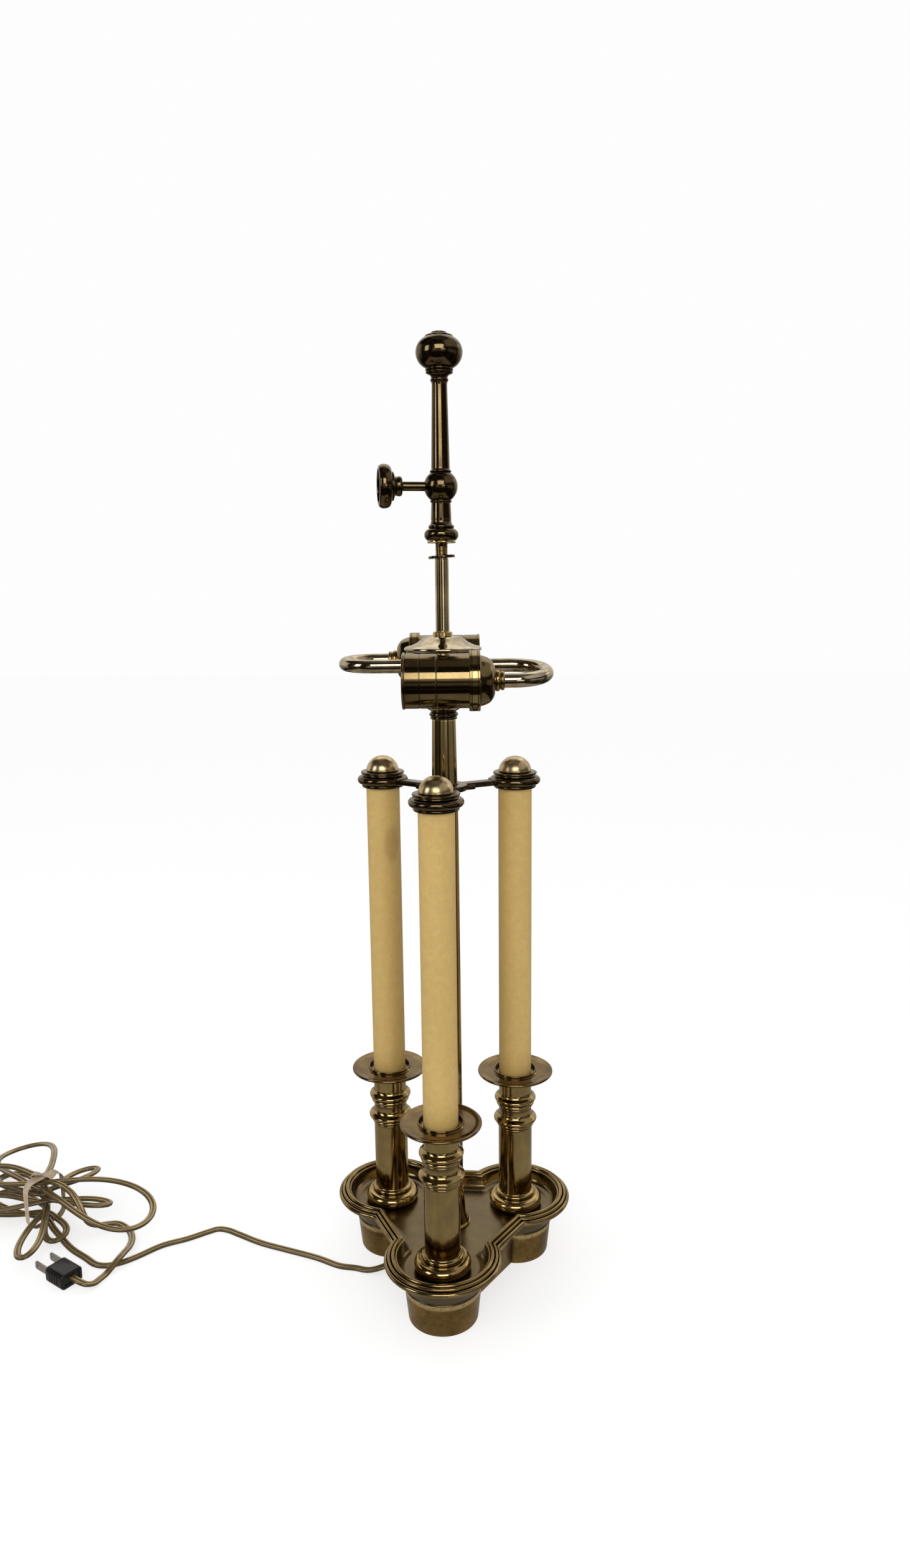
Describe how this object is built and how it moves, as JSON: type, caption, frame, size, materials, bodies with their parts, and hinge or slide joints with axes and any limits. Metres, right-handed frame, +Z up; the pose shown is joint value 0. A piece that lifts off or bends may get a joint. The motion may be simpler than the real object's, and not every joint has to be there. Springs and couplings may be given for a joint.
{
  "type": "bouillotte table lamp",
  "caption": "Brass table lamp: candle sleeves on a trefoil tray round a column, lamp holders on bent arms, and a sliding shade riser with thumb-screw and finial.",
  "frame": {"origin": "on the surface the lamp stands on, on the column's axis", "axes": "+Z up along the column, -Y towards the front candle, so the other two candles lie at 30 and 150 degrees from +X"},
  "size_m": [0.5124, 0.2151, 0.6863],
  "materials": {
    "base_brass": "satin, aged brown",
    "dark_brass": "dark aged, gloss on the edges",
    "pale_brass": "polished, dark streaks",
    "holder_brass": "polished golden brown",
    "dome_brass": "polished",
    "steel": "plain",
    "sleeve": "mottled, aged cream",
    "felt": "felt",
    "fibre": "matt",
    "phenolic": "moulded",
    "wire": "insulated",
    "cord": "clear gold over copper",
    "paper": "paper",
    "plug": "moulded"
  },
  "bodies": {
    "lamp": {"felt_pad": "felt", "bottom_plate": "steel", "base_skirt": "base_brass", "base_tray": "base_brass", "candlestick_front": "base_brass", "candlestick_right": "base_brass", "candlestick_left": "base_brass", "drip_pan_front": "base_brass", "drip_pan_right": "base_brass", "drip_pan_left": "base_brass", "candle_sleeve_front": "sleeve", "candle_sleeve_right": "sleeve", "candle_sleeve_left": "sleeve", "tie_rod_front": "steel", "tie_rod_right": "steel", "tie_rod_left": "steel", "dome_nut_front": "dome_brass", "dome_nut_right": "dome_brass", "dome_nut_left": "dome_brass", "candle_yoke": "dark_brass", "column": "base_brass", "column_collar": "dark_brass", "stem_pipe": "steel", "stem_nut_low": "steel", "stem_nut_high": "steel", "hickey": "steel", "cluster_body": "pale_brass", "cluster_cover": "pale_brass", "cover_nut": "pale_brass", "arm_front": "pale_brass", "arm_rear": "pale_brass", "arm_collar_front": "holder_brass", "arm_collar_rear": "holder_brass", "socket_cap_front": "holder_brass", "socket_cap_rear": "holder_brass", "socket_shell_front": "holder_brass", "socket_shell_rear": "holder_brass", "socket_insert_front": "phenolic", "socket_insert_rear": "phenolic", "screw_shell_front": "pale_brass", "screw_shell_rear": "pale_brass", "socket_wire_front": "wire", "socket_wire_rear": "wire", "switch_body": "phenolic", "shade_rod": "pale_brass", "rod_washer": "dark_brass", "cord_bushing": "fibre", "inner_cord": "cord", "cord_run": "cord", "cord_hank": "cord", "cord_tail": "cord", "hank_tie": "paper", "plug_body": "plug", "plug_blade_left": "steel", "plug_blade_right": "steel"},
    "ferrule": {"riser_ferrule": "holder_brass"},
    "riser": {"riser": "dark_brass"},
    "thumb_screw": {"thumb_screw": "dark_brass"},
    "finial": {"finial": "dark_brass"},
    "switch_knob": {"switch_knob": "holder_brass"}
  },
  "joints": [
    {"name": "riser_slide", "type": "slide", "parent": "lamp", "child": "ferrule", "axis": [0, 0, 1], "range_m": [-0.007, 0.05]},
    {"name": "riser_turn", "type": "hinge", "parent": "ferrule", "child": "riser", "pos_m": [0, 0, 0.5516], "axis": [0, 0, 1], "continuous": true},
    {"name": "thumb_screw_turn", "type": "hinge", "parent": "riser", "child": "thumb_screw", "pos_m": [0, 0, 0.5875], "axis": [-0.9694, -0.2453, 0], "range_deg": [0, 720]},
    {"name": "finial_turn", "type": "hinge", "parent": "riser", "child": "finial", "pos_m": [0, 0, 0.6617], "axis": [0, 0, 1], "range_deg": [0, 720]},
    {"name": "switch_turn", "type": "hinge", "parent": "lamp", "child": "switch_knob", "pos_m": [-0.00179, 0.01952, 0.445], "axis": [-0.0646, 0.7042, -0.7071], "continuous": true}
  ]
}
